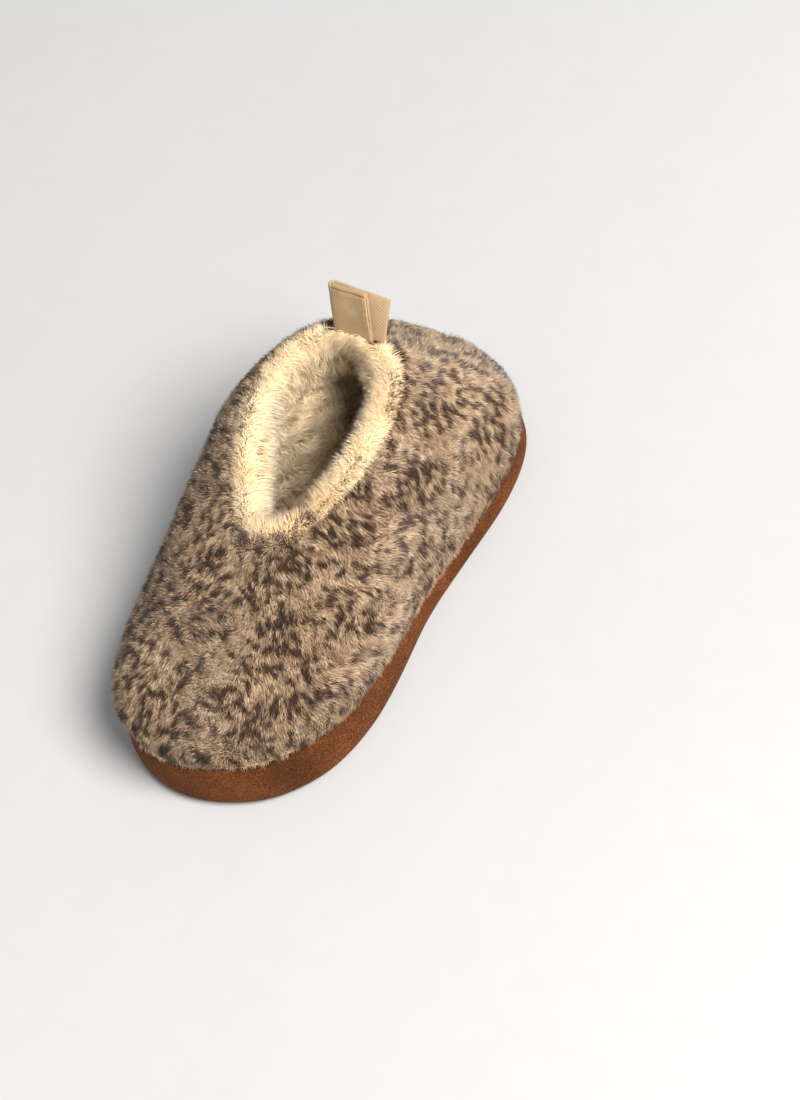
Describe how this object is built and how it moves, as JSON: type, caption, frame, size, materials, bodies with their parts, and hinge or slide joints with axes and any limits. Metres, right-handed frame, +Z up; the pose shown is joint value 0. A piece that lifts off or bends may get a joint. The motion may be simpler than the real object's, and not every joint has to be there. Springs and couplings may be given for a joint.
{
  "type": "moccasin slipper",
  "caption": "Soft moccasin slipper for the right foot: turned-up suede sole, mottled wool pile upper, cream pile lining rolled over the topline, tape pull loop at the heel.",
  "frame": {"origin": "on the ground under the middle of the shoe's bounding box", "axes": "+X to the toe, +Y to the inner side of the foot, +Z up"},
  "size_m": [0.27, 0.1324, 0.1205],
  "materials": {
    "suede": "napped",
    "mottled_pile": "long pile",
    "cream_pile": "long pile",
    "foam": "matt",
    "tape": "twill",
    "thread": "spun"
  },
  "bodies": {
    "shoe": {"outsole": "suede", "sole_foam": "foam", "insole_sock": "cream_pile", "upper_lining": "cream_pile", "upper_outer": "mottled_pile", "welt_seam_thread": "thread", "sock_seam_thread": "thread", "topline_seam_thread": "thread", "back_seam_thread": "thread", "lining_seam_thread": "thread", "loop_tails": "tape"},
    "loop": {"pull_loop": "tape"}
  },
  "joints": [
    {"name": "loop_fold", "type": "hinge", "parent": "shoe", "child": "loop", "pos_m": [-0.08227, -0.01349, 0.09193], "axis": [-0.0205, 0.9998, 0], "range_deg": [-45, 100], "stiffness_Nm_per_rad": 0.01}
  ]
}
